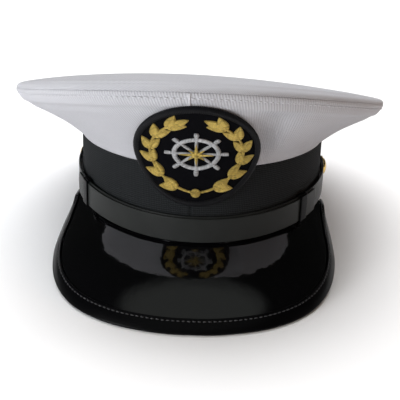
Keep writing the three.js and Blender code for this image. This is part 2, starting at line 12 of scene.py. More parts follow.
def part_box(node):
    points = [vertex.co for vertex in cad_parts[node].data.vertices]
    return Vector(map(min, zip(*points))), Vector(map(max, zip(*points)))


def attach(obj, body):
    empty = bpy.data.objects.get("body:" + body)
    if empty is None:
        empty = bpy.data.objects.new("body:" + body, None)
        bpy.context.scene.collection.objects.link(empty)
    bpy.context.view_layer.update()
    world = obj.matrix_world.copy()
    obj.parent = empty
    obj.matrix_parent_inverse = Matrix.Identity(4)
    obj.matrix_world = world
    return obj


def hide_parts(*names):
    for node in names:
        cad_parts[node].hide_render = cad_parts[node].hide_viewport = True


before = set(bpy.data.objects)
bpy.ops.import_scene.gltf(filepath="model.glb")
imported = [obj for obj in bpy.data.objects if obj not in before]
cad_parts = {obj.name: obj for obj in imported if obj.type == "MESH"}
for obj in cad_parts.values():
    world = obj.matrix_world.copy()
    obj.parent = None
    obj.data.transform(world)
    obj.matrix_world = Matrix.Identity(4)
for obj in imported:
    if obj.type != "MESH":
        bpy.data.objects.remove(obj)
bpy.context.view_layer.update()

# Sizes in millimetres and degrees, in the cap's own upright frame: the band's lower edge is at
# height 0 and the front faces -Y
HEAD_HALF_WIDTH = 85
HEAD_HALF_LENGTH = 101
HEAD_TAPER = 0.08
BAND_HEIGHT = 46
BAND_CLOTH = 2.4
RIM_SIDE_OVERHANG = 40.9
RIM_FRONT_OVERHANG = 35
RIM_BACK_OVERHANG = 35
RIM_FRONT_RISE = 50.4
RIM_SIDE_RISE = 25.5
RIM_BACK_RISE = 15
RIM_TAPER = 0.04
RIM_SHIFT = -2.3
RIM_BACK_LEAN = 3
ROLL_HEIGHT = 3.4
ROLL_INSET = 4
CROWN_DOME = 1
CROWN_CLOTH = 1.6
CROWN_SEAM = -1.3
BAND_SEAM = -2.9
PEAK_REACH = 44.4
PEAK_DROP = 43
PEAK_HALF_ANGLE = 88
PEAK_REST_ANGLE = 27
PEAK_CORNER_LIFT = 20.9
PEAK_CROWN = 2.6
PEAK_BULGE = 1.5  # the leather bulges evenly by this,
PEAK_ROLL = 3  # and by this more where it rolls down to its edge
PEAK_TURN = -0.7
PEAK_SKEW = 0.035
PEAK_LEATHER = 1.6
# Beside its front the peak first turns up the band, by this share of the strap's rise, which
# ends between these angles in radians. It rises between these distances from its root.
SHOULDER_SHARE = 0.8
SHOULDER_END = (0.6, 1.05)
SHOULDER_RISE = (0.6, 3.4)
BINDING_WIDTH = 8
BINDING_LEATHER = 0.7
STRAP_INNER_WIDTH = 16
STRAP_OUTER_WIDTH = 15
STRAP_LEATHER = 1
STRAP_RISE = 9
STRAP_FRONT_STAND = 0.6
STRAP_SIDE_STAND = 1.9
STRAP_TIP_LEFT = -73
STRAP_TIP_RIGHT = 65
STRAP_TIP_LENGTH = 12
KEEPER_WIDTH = 8
KEEPER_LEATHER = 0.8
BUTTON_ANGLE = 101
BUTTON_TURN = -2
BUTTON_RADIUS = 7.5
BUTTON_DOME = 4.2
BUTTON_RIM = 1.1
ROPE_RADIUS = 0.55
ROPE_TURNS = 28
ROPE_DEPTH = 0.16
SHANK_RADIUS = 2
BADGE_HALF_WIDTH = 37.4
BADGE_HALF_HEIGHT = 38.4
BADGE_FOOT = 23
BADGE_SHIFT = -1
BADGE_BEND = 14
BADGE_FELT = 2
BORDER_WIDTH = 4
BORDER_HEIGHT = 3.2
FELT_INSET = 3.6
WRAPS = 236  # turns of thread round the badge's edge
WRAP_DEPTH = 0.16
THREAD_HEIGHT = 1
STEM_INSET = 10.8
STEM_FOOT_INSET = 8.9
STEM_WIDTH = 1.6
LEAF_LENGTH = 11.4
LEAF_WIDTH = 6.048
LEAF_HEIGHT = 1.5
LEAF_TIP = 0.05  # share of the width that a leaf keeps at its ends
LEAF_VALLEY = 0.6  # share of the height that its middle lies lower
LEAF_CURL = 0.5
LEAF_SPREAD = 28
LEAF_PAIRS = 6
WHEEL_RADIUS = 12.5
WHEEL_RIM = 2.8
SPOKE_WIDTH = 2
SPOKE_REACH = 18
HUB_RADIUS = 3
STAR_RADIUS = 9.5
TIE_RADIUS = 2.8
SEAT = 0.3
REST_FLAT = 0.6
HEAD_RADIUS = (HEAD_HALF_WIDTH + HEAD_HALF_LENGTH) / 2

# The cap leans back on its peak: its own frame, set on the table
REST_TILT = math.atan2(PEAK_DROP, 2 * HEAD_HALF_LENGTH + PEAK_REACH)
CAP_SHIFT = Vector((2.3409, 1.9165, 16.7634))
ON_TABLE = (
    Matrix.Scale(0.001, 4) @ Matrix.Translation(CAP_SHIFT) @ Matrix.Rotation(-REST_TILT, 4, "X")
)
TABLE_UP = Vector((0, -math.sin(REST_TILT), math.cos(REST_TILT)))
TABLE_LIFT = HEAD_HALF_LENGTH * math.sin(REST_TILT) - REST_FLAT

# Crown side from the band to the rim seam: shares of the overhang and of the rise
SIDE_OUT = (0, 0.04, 0.15, 0.33, 0.56, 0.8, 0.93, 1)
SIDE_UP = (0, 0.07, 0.19, 0.36, 0.52, 0.67, 0.81, 1)
FRONT_OUT = (0, 0.07, 0.24, 0.46, 0.68, 0.87, 0.95, 1)
FRONT_UP = (0, 0.09, 0.25, 0.44, 0.63, 0.79, 0.88, 1)
# Peak's reach from its middle to its corners, in shares
PEAK_OUTLINE = (0.94, 0.963, 0.999, 0.985, 0.863, 0.642, 0.375, 0.154, 0.07)

radians = math.radians


def mix(a, b, share):
    return a + (b - a) * share


def clamp(value, low=0.0, high=1.0):
    return max(low, min(high, value))


def ease(value, low, high):
    share = clamp((value - low) / (high - low))
    return share * share * (3 - 2 * share)


def hump(value, middle, half_width):
    """1 at the middle, falling smoothly to 0 at the half width."""
    away = abs(value - middle) / half_width
    return (1 - away * away) ** 2 if away < 1 else 0.0


def along(values, at):
    """A smooth curve through evenly spaced values."""
    last = len(values) - 1
    at = clamp(at, 0, last)
    low = min(int(at), last - 1)
    t = at - low
    a, b = values[low], values[low + 1]
    before = values[low - 1] if low else 2 * a - b
    after = values[low + 2] if low + 2 <= last else 2 * b - a
    m0, m1 = (b - before) / 2, (after - a) / 2
    return (
        (2 * t**3 - 3 * t**2 + 1) * a
        + (t**3 - 2 * t**2 + t) * m0
        + (3 * t**2 - 2 * t**3) * b
        + (t**3 - t**2) * m1
    )


def settled(point):
    """Lifts a point that would lie below the table onto it."""
    height = point.dot(TABLE_UP) + TABLE_LIFT
    return point - TABLE_UP * height if height < 0 else point


# Form of the cap


def oval(angle, out, z):
    narrowing = 1 - HEAD_TAPER * math.cos(angle)
    along_x = HEAD_HALF_WIDTH * (
        math.cos(angle) * narrowing + HEAD_TAPER * math.sin(angle) ** 2
    )
    along_y = HEAD_HALF_LENGTH * math.sin(angle)
    normal = Vector((along_y, -along_x)).normalized()
    return Vector((
        HEAD_HALF_WIDTH * math.sin(angle) * narrowing + normal.x * out,
        -HEAD_HALF_LENGTH * math.cos(angle) + normal.y * out,
        z,
    ))


def rim(angle, inset, up):
    front = math.cos(angle)
    overhang = mix(RIM_BACK_OVERHANG, RIM_FRONT_OVERHANG, front > 0)
    half_width = HEAD_HALF_WIDTH + RIM_SIDE_OVERHANG
    slope = (RIM_FRONT_RISE - RIM_BACK_RISE) / 2
    warp = (RIM_FRONT_RISE + RIM_BACK_RISE) / 2 - RIM_SIDE_RISE
    lean = RIM_BACK_LEAN * math.sin(angle) * (1 - front) / 2
    return Vector((
        RIM_SHIFT + (half_width - inset) * math.sin(angle) * (1 - RIM_TAPER * front),
        -(HEAD_HALF_LENGTH + overhang - inset) * front,
        BAND_HEIGHT + RIM_SIDE_RISE + slope * front + warp * front**2 - lean + up,
    ))


LAST_ROW = len(SIDE_OUT) - 1


def crown_side(angle, row):
    front = max(0, math.cos(angle)) ** 1.5
    foot = oval(angle, 0, BAND_HEIGHT + SEAT / 2)
    edge = rim(angle, 0, -0.03)
    out = mix(along(SIDE_OUT, row), along(FRONT_OUT, row), front)
    up = mix(along(SIDE_UP, row), along(FRONT_UP, row), front)
    return Vector((mix(foot.x, edge.x, out), mix(foot.y, edge.y, out), mix(foot.z, edge.z, up)))


def fold_height(angle):
    return rim(angle, 0, ROLL_HEIGHT).z


MIDDLE_HEIGHT = sum(fold_height(k * math.pi / 2) for k in range(4)) / 4


def crown_top(angle, share):
    """The flat of the top, from its middle to where it turns down."""
    here, opposite = fold_height(angle), fold_height(angle + math.pi)
    odd = (here - opposite) / 2
    even = (here + opposite) / 2 - MIDDLE_HEIGHT
    edge = rim(angle, ROLL_INSET, 0)
    middle = (rim(0, ROLL_INSET, 0) + rim(math.pi, ROLL_INSET, 0)) / 2
    return Vector((
        mix(middle.x, edge.x, share),
        mix(middle.y, edge.y, share),
        MIDDLE_HEIGHT + odd * share + even * share**2 + CROWN_DOME * (1 - share**2),
    ))


EDGE_DEPTH = PEAK_LEATHER + SEAT + BINDING_LEATHER
EDGE_SLOPE = (
    math.atan2(PEAK_DROP, PEAK_REACH) - REST_TILT
    + 4 * PEAK_CROWN / math.hypot(PEAK_DROP, PEAK_REACH)
)
EDGE_SIT = EDGE_DEPTH * math.cos(EDGE_SLOPE) - BINDING_LEATHER / 2


def peak_reach_share(angle):
    share = min(1, abs(angle - radians(PEAK_TURN)) / radians(PEAK_HALF_ANGLE))
    return along(PEAK_OUTLINE, share * (len(PEAK_OUTLINE) - 1)), share


def peak_edge(angle):
    reach, share = peak_reach_share(angle)
    point = oval(angle, PEAK_REACH * reach * (1 - PEAK_SKEW * math.sin(2 * angle)), 0)
    beyond = max(0, radians(PEAK_HALF_ANGLE) * share - radians(PEAK_REST_ANGLE))
    lift = PEAK_CORNER_LIFT * (beyond / radians(PEAK_HALF_ANGLE - PEAK_REST_ANGLE)) ** 2
    table = -(HEAD_HALF_LENGTH - point.y) * math.tan(REST_TILT) + REST_FLAT / math.cos(REST_TILT)
    point.z = min(table + (EDGE_SIT + lift) / math.cos(REST_TILT), -SEAT - PEAK_LEATHER)
    return point


class PeakLine:
    """The peak's section at one angle."""

    def __init__(self, angle):
        self.root = oval(angle, -BAND_CLOTH / 2, -SEAT)
        self.edge = peak_edge(angle)
        self.fullness = peak_reach_share(angle)[0]
        flat = Vector((self.edge.x - self.root.x, self.edge.y - self.root.y))
        self.run, self.drop = flat.length, self.root.z - self.edge.z
        self.width = math.hypot(self.run, self.drop)
        self.out = flat.normalized()
        strap = STRAP_RISE * (1 - math.cos(angle))
        self.shoulder = SHOULDER_SHARE * strap * (1 - ease(abs(angle), *SHOULDER_END))

    def face(self, share):
        even = 4 * share * (1 - share)
        late = 6.75 * share**2 * (1 - share)
        bulge = (PEAK_BULGE * even + PEAK_ROLL * late) * self.fullness**1.4
        point = self.root.lerp(self.edge, share)
        point.x += self.out.x * bulge * self.drop / self.width
        point.y += self.out.y * bulge * self.drop / self.width
        point.z += bulge * self.run / self.width
        point.z += self.shoulder * ease(share * self.run, *SHOULDER_RISE) * (1 - share)
        return point

    def at(self, inward, level):
        """The point at a distance in from the edge and a level above the upper face."""
        face = self.face(1 - inward / self.width)
        step = face - self.face(0.98 - inward / self.width)
        slope = math.atan2(-step.z, math.hypot(step.x, step.y))
        out = Vector((step.x, step.y)).normalized() * level * math.sin(slope)
        return settled(face + Vector((out.x, out.y, level * math.cos(slope))))


def strap_point(angle, out, up):
    stand = mix(STRAP_FRONT_STAND, STRAP_SIDE_STAND, math.sin(angle) ** 2)
    return oval(angle, stand + out, STRAP_RISE * (1 - math.cos(angle)) + up)


def degrees_for(length, angle):
    """How many degrees round the head a length takes up there."""
    chord = (oval(radians(angle + 0.5), 0, 0) - oval(radians(angle - 0.5), 0, 0)).length
    return length / chord


FRONT_SLOPE = math.atan2(RIM_FRONT_OVERHANG * FRONT_OUT[5], RIM_FRONT_RISE * FRONT_UP[5])
BEND_RADIUS = 2 * BADGE_BEND / FRONT_SLOPE
BADGE_MIDDLE = BADGE_FOOT + BADGE_HALF_HEIGHT - BAND_HEIGHT
BAND_RADIUS = (HEAD_HALF_WIDTH * (1 - HEAD_TAPER)) ** 2 / HEAD_HALF_LENGTH
RIM_RADIUS = ((HEAD_HALF_WIDTH + RIM_SIDE_OVERHANG) * (1 - RIM_TAPER)) ** 2 / (
    HEAD_HALF_LENGTH + RIM_FRONT_OVERHANG
)
BADGE_STIFFNESS = 1.1


def badge_face(across, up):
    """The badge's back: upright in front of the band, then bent along the crown."""
    turn = clamp((up + BADGE_BEND) / BEND_RADIUS, 0, FRONT_SLOPE)
    beyond = max(0, up - BADGE_BEND)
    below = min(0, up + BADGE_BEND)
    forward = BEND_RADIUS * (1 - math.cos(turn)) + beyond * math.sin(FRONT_SLOPE)
    rise = BEND_RADIUS * math.sin(turn) + beyond * math.cos(FRONT_SLOPE) + below - BADGE_BEND
    share = clamp(forward / RIM_FRONT_OVERHANG)
    radius = mix(BAND_RADIUS, RIM_RADIUS, share) * BADGE_STIFFNESS
    return Vector((
        BADGE_SHIFT + across * (1 - (across / radius) ** 2 / 6),
        -HEAD_HALF_LENGTH - forward + across**2 / (2 * radius),
        BAND_HEIGHT + rise,
    ))


# The badge stands just clear of the cloth, by the distance that the solids have
BADGE_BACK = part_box("badge_border")[0].y


def badge_lift(stand):
    """Gives the points above the badge's back, when it stands this far forward."""

    def point(across, up, level):
        up += BADGE_MIDDLE
        at = badge_face(across, up)
        right = badge_face(across + 0.01, up) - badge_face(across - 0.01, up)
        above = badge_face(across, up + 0.01) - badge_face(across, up - 0.01)
        at += right.cross(above).normalized() * level
        at.y -= stand
        return at

    return point


def ellipse(share, t, inset):
    """A point in the badge's oval: a share of the way out, and a share of the way round."""
    return (
        share * (BADGE_HALF_WIDTH - inset) * math.sin(math.tau * t),
        share * (BADGE_HALF_HEIGHT - inset) * math.cos(math.tau * t),
    )


def found_stand():
    """How far forward the badge's foremost point has to go to meet the solid's."""
    base = badge_lift(0)
    front = min(
        (ON_TABLE @ base(*ellipse(1, k / 80, BORDER_WIDTH / 2), BORDER_HEIGHT)).y
        for k in range(80)
    )
    return (front - BADGE_BACK) * 1000 / math.cos(REST_TILT)


badge_point = badge_lift(found_stand())


# Building


def patch(columns, rows, place, filled=False):
    """A grid whose point (u, v), each from 0 to 1, goes to place(u, v), which gives its place in
    millimetres and its place on the cloth in metres."""
    mesh = bmesh.new()
    bmesh.ops.create_grid(mesh, x_segments=columns, y_segments=rows, size=0.5)
    lay = mesh.loops.layers.uv.new("lay")
    cloth = {}
    for vert in mesh.verts:
        vert.co, cloth[vert] = place(vert.co.x + 0.5, vert.co.y + 0.5)
    for face in mesh.faces:
        for loop in face.loops:
            loop[lay].uv = cloth[loop.vert]
    bmesh.ops.remove_doubles(mesh, verts=mesh.verts, dist=1e-4)
    bmesh.ops.dissolve_degenerate(mesh, edges=mesh.edges, dist=1e-5)
    if filled:
        open_edges = [edge for edge in mesh.edges if edge.is_boundary]
        if open_edges:
            bmesh.ops.holes_fill(mesh, edges=open_edges)
    return mesh


def carried(section, steps, place, length=1000):
    """A closed section of (u, v) corners carried through steps: place(t, u, v) gives a point.
    The cloth is laid round the section and along the length, both in millimetres."""
    ring = list(section) + [section[0]]
    reach = [0.0]
    for (u0, v0), (u1, v1) in zip(ring, ring[1:]):
        reach.append(reach[-1] + math.hypot(u1 - u0, v1 - v0))

    def laid(t, v):
        corner = round(v * (len(ring) - 1))
        return place(t, *ring[corner]), (t * length / 1000, reach[corner] / 1000)

    return patch(steps, len(ring) - 1, laid, True)


def relaid(mesh, change):
    """Gives each corner the place on the cloth that change(u, v) makes of its old one."""
    lay = mesh.loops.layers.uv["lay"]
    for face in mesh.faces:
        for loop in face.loops:
            loop[lay].uv = change(*loop[lay].uv)
    return mesh


def turned(profile, steps, place):
    """A profile of (reach, level) points turned once round a middle: place(t, reach, level)."""
    last = len(profile) - 1

    def laid(t, v):
        reach, level = profile[round(v * last)]
        return place(t, reach, level), (t, v)

    return patch(steps, last, laid, True)


def rounded(corners, radius, steps=3):
    """The closed outline of corners, each rounded to a radius."""
    out = []
    count = len(corners)
    for i, corner in enumerate(corners):
        here = Vector(corner)
        back = Vector(corners[i - 1]) - here
        ahead = Vector(corners[(i + 1) % count]) - here
        cut = min(radius, back.length / 2.01, ahead.length / 2.01)
        start = here + back.normalized() * cut
        end = here + ahead.normalized() * cut
        for k in range(steps + 1):
            t = k / steps
            out.append(tuple((1 - t) ** 2 * start + 2 * t * (1 - t) * here + t**2 * end))
    return out


def lens(points):
    """A thread shape's closed section: a rounded top over a flat foot, from -1 to 1 across."""
    angles = [math.pi * k / points for k in range(points + 1)]
    return [(math.cos(a), math.sin(a) ** 0.8) for a in angles] + [(-1 / 3, -0.15), (1 / 3, -0.15)]


def stored(name, mesh):
    """The finished mesh as an object's data."""
    data = bpy.data.meshes.new(name)
    mesh.to_mesh(data)
    mesh.free()
    return data


def linked(name, data):
    thing = bpy.data.objects.new(name, data)
    bpy.context.scene.collection.objects.link(thing)
    return thing


def piece(name, mesh, finish, nodes=(), wall=0.0):
    """A finished piece on the table: the mesh, its material and what it stands for."""
    if isinstance(mesh, list):
        whole = bmesh.new()
        for one in mesh:
            part = stored("part", one)
            whole.from_mesh(part)
            bpy.data.meshes.remove(part)
        mesh = whole
    bmesh.ops.transform(mesh, matrix=ON_TABLE, verts=mesh.verts)
    bmesh.ops.recalc_face_normals(mesh, faces=mesh.faces)
    data = stored(name, mesh)
    data.shade_smooth()
    data.materials.append(finish.material)
    thing = linked(name, data)
    if wall:
        layer = thing.modifiers.new("wall", "SOLIDIFY")
        layer.thickness = wall / 1000
        layer.offset = -1
    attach(thing, "root")
    if nodes:
        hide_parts(*nodes)
    return thing


# Finishes


class Value:
    """A socket that Python's operators join with Math nodes."""

    def __init__(self, owner, socket):
        self.owner = owner
        self.socket = socket

    def math(self, operation, other=None, flip=False):
        pair = (other, self) if flip else (self, other)
        inputs = {i: value for i, value in enumerate(pair) if value is not None}
        return self.owner.node("ShaderNodeMath", {"operation": operation}, inputs)

    def __add__(self, other):
        return self.math("ADD", other)

    __radd__ = __add__

    def __sub__(self, other):
        return self.math("SUBTRACT", other)

    def __rsub__(self, other):
        return self.math("SUBTRACT", other, True)

    def __mul__(self, other):
        return self.math("MULTIPLY", other)

    __rmul__ = __mul__


class Tree:
    """The node tree of a material or a world, emptied but for its output."""

    def __init__(self, owner, output):
        owner.use_nodes = True
        self.tree = owner.node_tree
        self.tree.nodes.clear()
        self.surface = self.tree.nodes.new(output).inputs["Surface"]

    def node(self, kind, settings, inputs, output=0):
        made = self.tree.nodes.new(kind)
        for key, value in settings.items():
            setattr(made, key, value)
        for key, value in inputs.items():
            if isinstance(value, Value):
                self.tree.links.new(value.socket, made.inputs[key])
            else:
                made.inputs[key].default_value = value
        return Value(self, made.outputs[output])


class Finish(Tree):
    """A material made of nodes, with its Principled shader."""

    def __init__(self, name, **fixed):
        self.material = bpy.data.materials.new(name)
        super().__init__(self.material, "ShaderNodeOutputMaterial")
        self.shader = self.tree.nodes.new("ShaderNodeBsdfPrincipled")
        self.tree.links.new(self.shader.outputs["BSDF"], self.surface)
        for socket, value in fixed.items():
            self.shader.inputs[socket.replace("_", " ")].default_value = value

    def feed(self, socket, value):
        self.tree.links.new(value.socket, self.shader.inputs[socket])

    def lay(self, axis):
        """The place on the cloth in metres, along it for axis 0 and across it for 1."""
        uv = self.node("ShaderNodeUVMap", {"uv_map": "lay"}, {})
        return self.node("ShaderNodeSeparateXYZ", {}, {0: uv}, axis)

    def cloud(self, size_mm, detail, stretch=(1, 1, 1)):
        """Noise from 0 to 1 whose features are about this size."""
        place = self.node("ShaderNodeTexCoord", {}, {}, "Object")
        at = self.node("ShaderNodeMapping", {}, {0: place, "Scale": stretch})
        return self.node(
            "ShaderNodeTexNoise", {}, {"Vector": at, "Scale": 1000 / size_mm, "Detail": detail}
        )

    def waves(self, at, pitch_mm):
        """Ridges from 0 to 1 across a distance in metres."""
        turn = at * (2000 * math.pi / pitch_mm)
        return turn.math("SINE") * 0.5 + 0.5

    def paint(self, share, low, high):
        """Colours the surface between two colours."""
        sockets = {0: share, 6: (*low, 1), 7: (*high, 1)}
        self.feed("Base Color", self.node("ShaderNodeMix", {"data_type": "RGBA"}, sockets, 2))

    def bump(self, height, depth_mm):
        inputs = {"Height": height, "Distance": depth_mm / 1000}
        self.feed("Normal", self.node("ShaderNodeBump", {}, inputs))


def white_twill(name, lean):
    """White cloth with slanting ribs, which lean by this much."""
    f = Finish(
        name, Roughness=0.9, Sheen_Weight=0.06, Sheen_Roughness=0.5, Specular_IOR_Level=0.15
    )
    u, v = f.lay(0), f.lay(1)
    ribs = f.waves(u + v * lean, 1.6)
    threads = f.waves(v - u * 0.4, 0.7)
    soft = f.cloud(34, 3)
    nap = f.cloud(1.3, 4)
    shade = ribs * 0.5 + soft * 0.25 + nap * 0.25
    f.paint(shade, (0.35, 0.35, 0.378), (0.505, 0.505, 0.532))
    f.bump(ribs * 0.7 + threads * 0.2 + nap * 0.4, 0.25)
    return f


def black_braid():
    f = Finish("black_braid", Roughness=0.85, Specular_IOR_Level=0.06)
    u, v = f.lay(0), f.lay(1)
    ribs = f.waves(v, 1.25)
    threads = f.waves(u, 1.3)
    fuzz = f.cloud(0.9, 4)
    weave = ribs * 0.45 + threads * 0.4 + fuzz * 0.3
    f.paint(weave, (0.001, 0.0011, 0.0014), (0.0225, 0.0245, 0.026))
    f.bump(weave, 0.26)
    return f


def patent(name, gloss, rough, ripple_depth):
    """Lacquered black leather. Its gloss comes from its base, so that its ripples bend it."""
    f = Finish(name, Base_Color=(0.0015, 0.0015, 0.0018, 1), IOR=1.62, Specular_IOR_Level=gloss)
    ripple = f.cloud(14, 1) * 0.8 + f.cloud(4.5, 2) * 0.2
    smear = f.cloud(18, 3)
    f.feed("Roughness", smear * 0.07 + rough)
    f.bump(ripple, ripple_depth)
    return f


def satin_strap():
    f = Finish("satin_strap", Specular_IOR_Level=0.1)
    grain = f.cloud(0.7, 4)
    wear = f.cloud(16, 3)
    f.paint(wear, (0.0105, 0.0114, 0.011), (0.0205, 0.0222, 0.0214))
    f.feed("Roughness", wear * 0.10 + grain * 0.06 + 0.34)
    f.bump(grain, 0.03)
    return f


def polished_strap():
    f = Finish("polished_strap", Base_Color=(0.002, 0.002, 0.0022, 1), Specular_IOR_Level=0.03)
    grain = f.cloud(0.9, 4)
    wear = f.cloud(5, 3)
    f.feed("Roughness", wear * 0.14 + 0.12)
    f.bump(grain * 0.5 + wear * 0.5, 0.06)
    return f


def gilt():
    f = Finish("gilt", Metallic=1.0)
    tarnish = f.cloud(2.4, 4)
    f.paint(tarnish, (0.62, 0.40, 0.10), (0.80, 0.56, 0.20))
    f.feed("Roughness", tarnish * 0.15 + 0.16)
    f.bump(f.cloud(1.2, 3), 0.02)
    return f


def felt():
    f = Finish("badge_felt", Roughness=0.95, Specular_IOR_Level=0.03)
    fibres = f.cloud(0.8, 5, (1, 1, 2.4))
    tufts = f.cloud(3.5, 3)
    shade = fibres * 0.7 + tufts * 0.3
    f.paint(shade, (0.0006, 0.0006, 0.0010), (0.0055, 0.0055, 0.0068))
    f.bump(fibres, 0.16)
    return f


def overlock():
    f = Finish("overlock_thread", Specular_IOR_Level=0.16)
    strands = f.cloud(0.5, 3)
    # The ribs in its colour are painted shade over the thread's own varying tone: the colour rises
    # and falls with the pitch of the edge's wraps, lighter on each wrap and darker between them.
    ribs = f.waves(f.lay(0), 1.0)
    shade = strands * 0.4 + ribs * 0.6
    f.paint(shade, (0.0008, 0.0008, 0.0012), (0.009, 0.009, 0.011))
    f.feed("Roughness", strands * 0.2 + 0.5)
    f.bump(strands, 0.05)
    return f


SATIN_PITCH = 0.75  # from one embroidery thread to the next


def embroidery(name, low, high, metal, rough):
    """Satin stitch: threads that lie side by side across the shape, each with its own shine."""
    f = Finish(name, Specular_IOR_Level=0.6)
    u, v = f.lay(0), f.lay(1)
    strand = f.waves(u, SATIN_PITCH)
    number = (u * (1000 / SATIN_PITCH)).math("FLOOR")
    own = f.node("ShaderNodeTexWhiteNoise", {"noise_dimensions": "1D"}, {"W": number})
    twist = f.waves(u * 2.1 + v * 3.4, 0.9)
    mottle = f.cloud(1.6, 3)
    shade = own * 0.35 + twist * 0.15 + mottle * 0.25 + strand * 0.3
    f.paint(shade, low, high)
    f.feed("Roughness", own * 0.2 + rough)
    f.feed("Metallic", mottle * 0.2 + metal)
    f.bump(strand * 0.8 + twist * 0.2, 0.4)
    return f


def sewing_thread(name, low, high, rough):
    f = Finish(name, Sheen_Weight=0.1)
    strands = f.cloud(0.4, 3)
    f.paint(strands, low, high)
    f.feed("Roughness", strands * 0.2 + rough)
    f.bump(strands, 0.04)
    return f


SIDE_TWILL = white_twill("white_side_twill", 0.25)
TOP_TWILL = white_twill("white_top_twill", 1.1)
BRAID = black_braid()
PATENT = patent("patent_leather", 0.5, 0.03, 0.22)
BINDING = patent("patent_binding", 0.08, 0.26, 0.06)
SATIN = satin_strap()
POLISHED = polished_strap()
GILT = gilt()
FELT = felt()
OVERLOCK = overlock()
GOLD = embroidery("gold_thread", (0.12, 0.06, 0.005), (1.0, 0.76, 0.20), 0.4, 0.34)
SILVER = embroidery("silver_thread", (0.20, 0.20, 0.21), (0.80, 0.81, 0.83), 0.3, 0.36)
WHITE_THREAD = sewing_thread("white_thread", (0.42, 0.42, 0.45), (0.56, 0.56, 0.59), 0.6)
# The front seam's turned cloth edge gets a colour lighter than the cloth itself: a painted
# highlight along its ridge, where it catches the light.
SEAM_EDGE_HIGHLIGHT = sewing_thread("seam_edge_painted_highlight", (0.47, 0.47, 0.50), (0.60, 0.60, 0.64), 0.7)
BLACK_THREAD = sewing_thread("black_thread", (0.014, 0.014, 0.016), (0.05, 0.05, 0.053), 0.2)

# Crown

STITCH_DOWN = 3.1  # the row of stitches below the rim seam
STITCH_PULL = 0.22
ALLOWANCE_STAND = 0.35  # the folded cloth between that row and the seam
SEAM_TUCK = 0.16
STIFFENER = 9.5  # lower edge of the stiff cloth inside the rim
STIFFENER_STAND = 0.42
CREASE_DEPTH = 0.3  # below the stiff cloth
LAP_STAND = 0.35  # the front seam's upper cloth
LAP_GROOVE = 0.2
UNDER_LAP = 0.12
WAVE_HEIGHT = 0.5
DENT_ANGLE, DENT_REACH, DENT_DEPTH = radians(23), radians(10), 3.2
SWELL_ANGLE, SWELL_REACH, SWELL_HEIGHT = DENT_ANGLE + radians(15), radians(13), 0.9
SEAM_GAP = 0.01
EDGE_HALF_WIDTH = 0.55  # the turned edge of cloth on the front seam
EDGE_HEIGHT = 0.34
EDGE_SINK = 0.2
SIDE_STEPS = 8  # steps to a row in which the side's length is measured


@functools.cache
def side_length(angle):
    """Lengths of the crown's side from the band up to the rim seam, at an angle."""
    last = crown_side(angle, 0)
    total = [0.0]
    for i in range(1, SIDE_STEPS * LAST_ROW + 1):
        here = crown_side(angle, i / SIDE_STEPS)
        total.append(total[-1] + (here - last).length)
        last = here
    return total


def side_row(angle, height):
    """The row of the crown's side at a height along its cloth."""
    total = side_length(angle)
    i = min(bisect.bisect_left(total, height, 1), len(total) - 1) - 1
    return (i + clamp((height - total[i]) / (total[i + 1] - total[i]))) / SIDE_STEPS


def side_frame(angle, row):
    """A point of the crown's side, the way on round the cap there and the way outward."""
    turn = crown_side(angle + 0.01, row) - crown_side(angle - 0.01, row)
    ahead = crown_side(angle, min(row + 0.2, LAST_ROW)) - crown_side(angle, max(row - 0.2, 0))
    return crown_side(angle, row), turn.normalized(), turn.cross(ahead).normalized()


def wave(angle, height):
    return noise.noise(Vector((math.sin(angle) * 2.2, -math.cos(angle) * 2.2, height / 40 + 3.1)))


def side_relief(angle, down, height, from_seam, lapped):
    """How far the side's cloth stands out or in, in millimetres: down is the distance below the
    rim seam, height that above the band, from_seam that from the front seam."""
    tucked = -SEAM_TUCK * (1 - ease(down, 0, 0.8))
    folded = ease(down, 0.3, 1.2) * (1 - ease(down, STITCH_DOWN - 0.8, STITCH_DOWN))
    sewn = -STITCH_PULL * hump(down, STITCH_DOWN, 0.9)
    stiff = STIFFENER_STAND * (1 - ease(down, STIFFENER - 1.6, STIFFENER + 1.4))
    crease = -CREASE_DEPTH * hump(down, STIFFENER + 2.6, 4.2)
    if lapped:
        front_seam = LAP_STAND * (1 - ease(from_seam, 1.2, 3.0))
        front_seam -= LAP_GROOVE * hump(from_seam, 2.8, 1.6)
    else:
        front_seam = -UNDER_LAP * (1 - ease(from_seam, 0.6, 5.2))
    soft = WAVE_HEIGHT * wave(angle * 1.5, height) * ease(height, 0, 12)
    between = ease(height, 2, 14) * ease(down, 8, 18)
    dent = -DENT_DEPTH * hump(angle, DENT_ANGLE, DENT_REACH) * between
    swell = SWELL_HEIGHT * hump(angle, SWELL_ANGLE, SWELL_REACH) * between
    return (
        tucked + ALLOWANCE_STAND * folded + sewn + stiff + crease + front_seam + soft + dent + swell
    )


def side_place(direction):
    def place(u, v):
        # closer columns near the front seam, closer rows near the rim seam
        share = u if u > 0.06 else 0.06 * (u / 0.06) ** 1.6
        half_gap = SEAM_GAP / HEAD_HALF_LENGTH
        angle = radians(CROWN_SEAM) + direction * mix(half_gap, math.pi - half_gap, share)
        whole = side_length(angle)[-1]
        height = whole * (1 - (1 - v) ** 1.35)
        point, _, outward = side_frame(angle, side_row(angle, height))
        from_seam = (share * math.pi) * (HEAD_HALF_LENGTH + 30)
        relief = side_relief(angle, whole - height, height, from_seam, direction < 0)
        return point + outward * relief, (angle * (HEAD_HALF_LENGTH + 18) / 1000, height / 1000)

    return place


def seam_edge():
    """The edge of the cloth that laps over the seam between the two sides."""
    angle = radians(CROWN_SEAM)
    total = side_length(angle)

    def place(t, u, v):
        row = mix(0.1, LAST_ROW - 0.02, t)
        point, onward, outward = side_frame(angle, row)
        height = along(total, row * SIDE_STEPS)
        stand = side_relief(angle, total[-1] - height, height, 0, True)
        stand += EDGE_HEIGHT * v - EDGE_SINK
        return point + onward * u * EDGE_HALF_WIDTH + outward * stand

    return carried(lens(8), 72, place, 50)


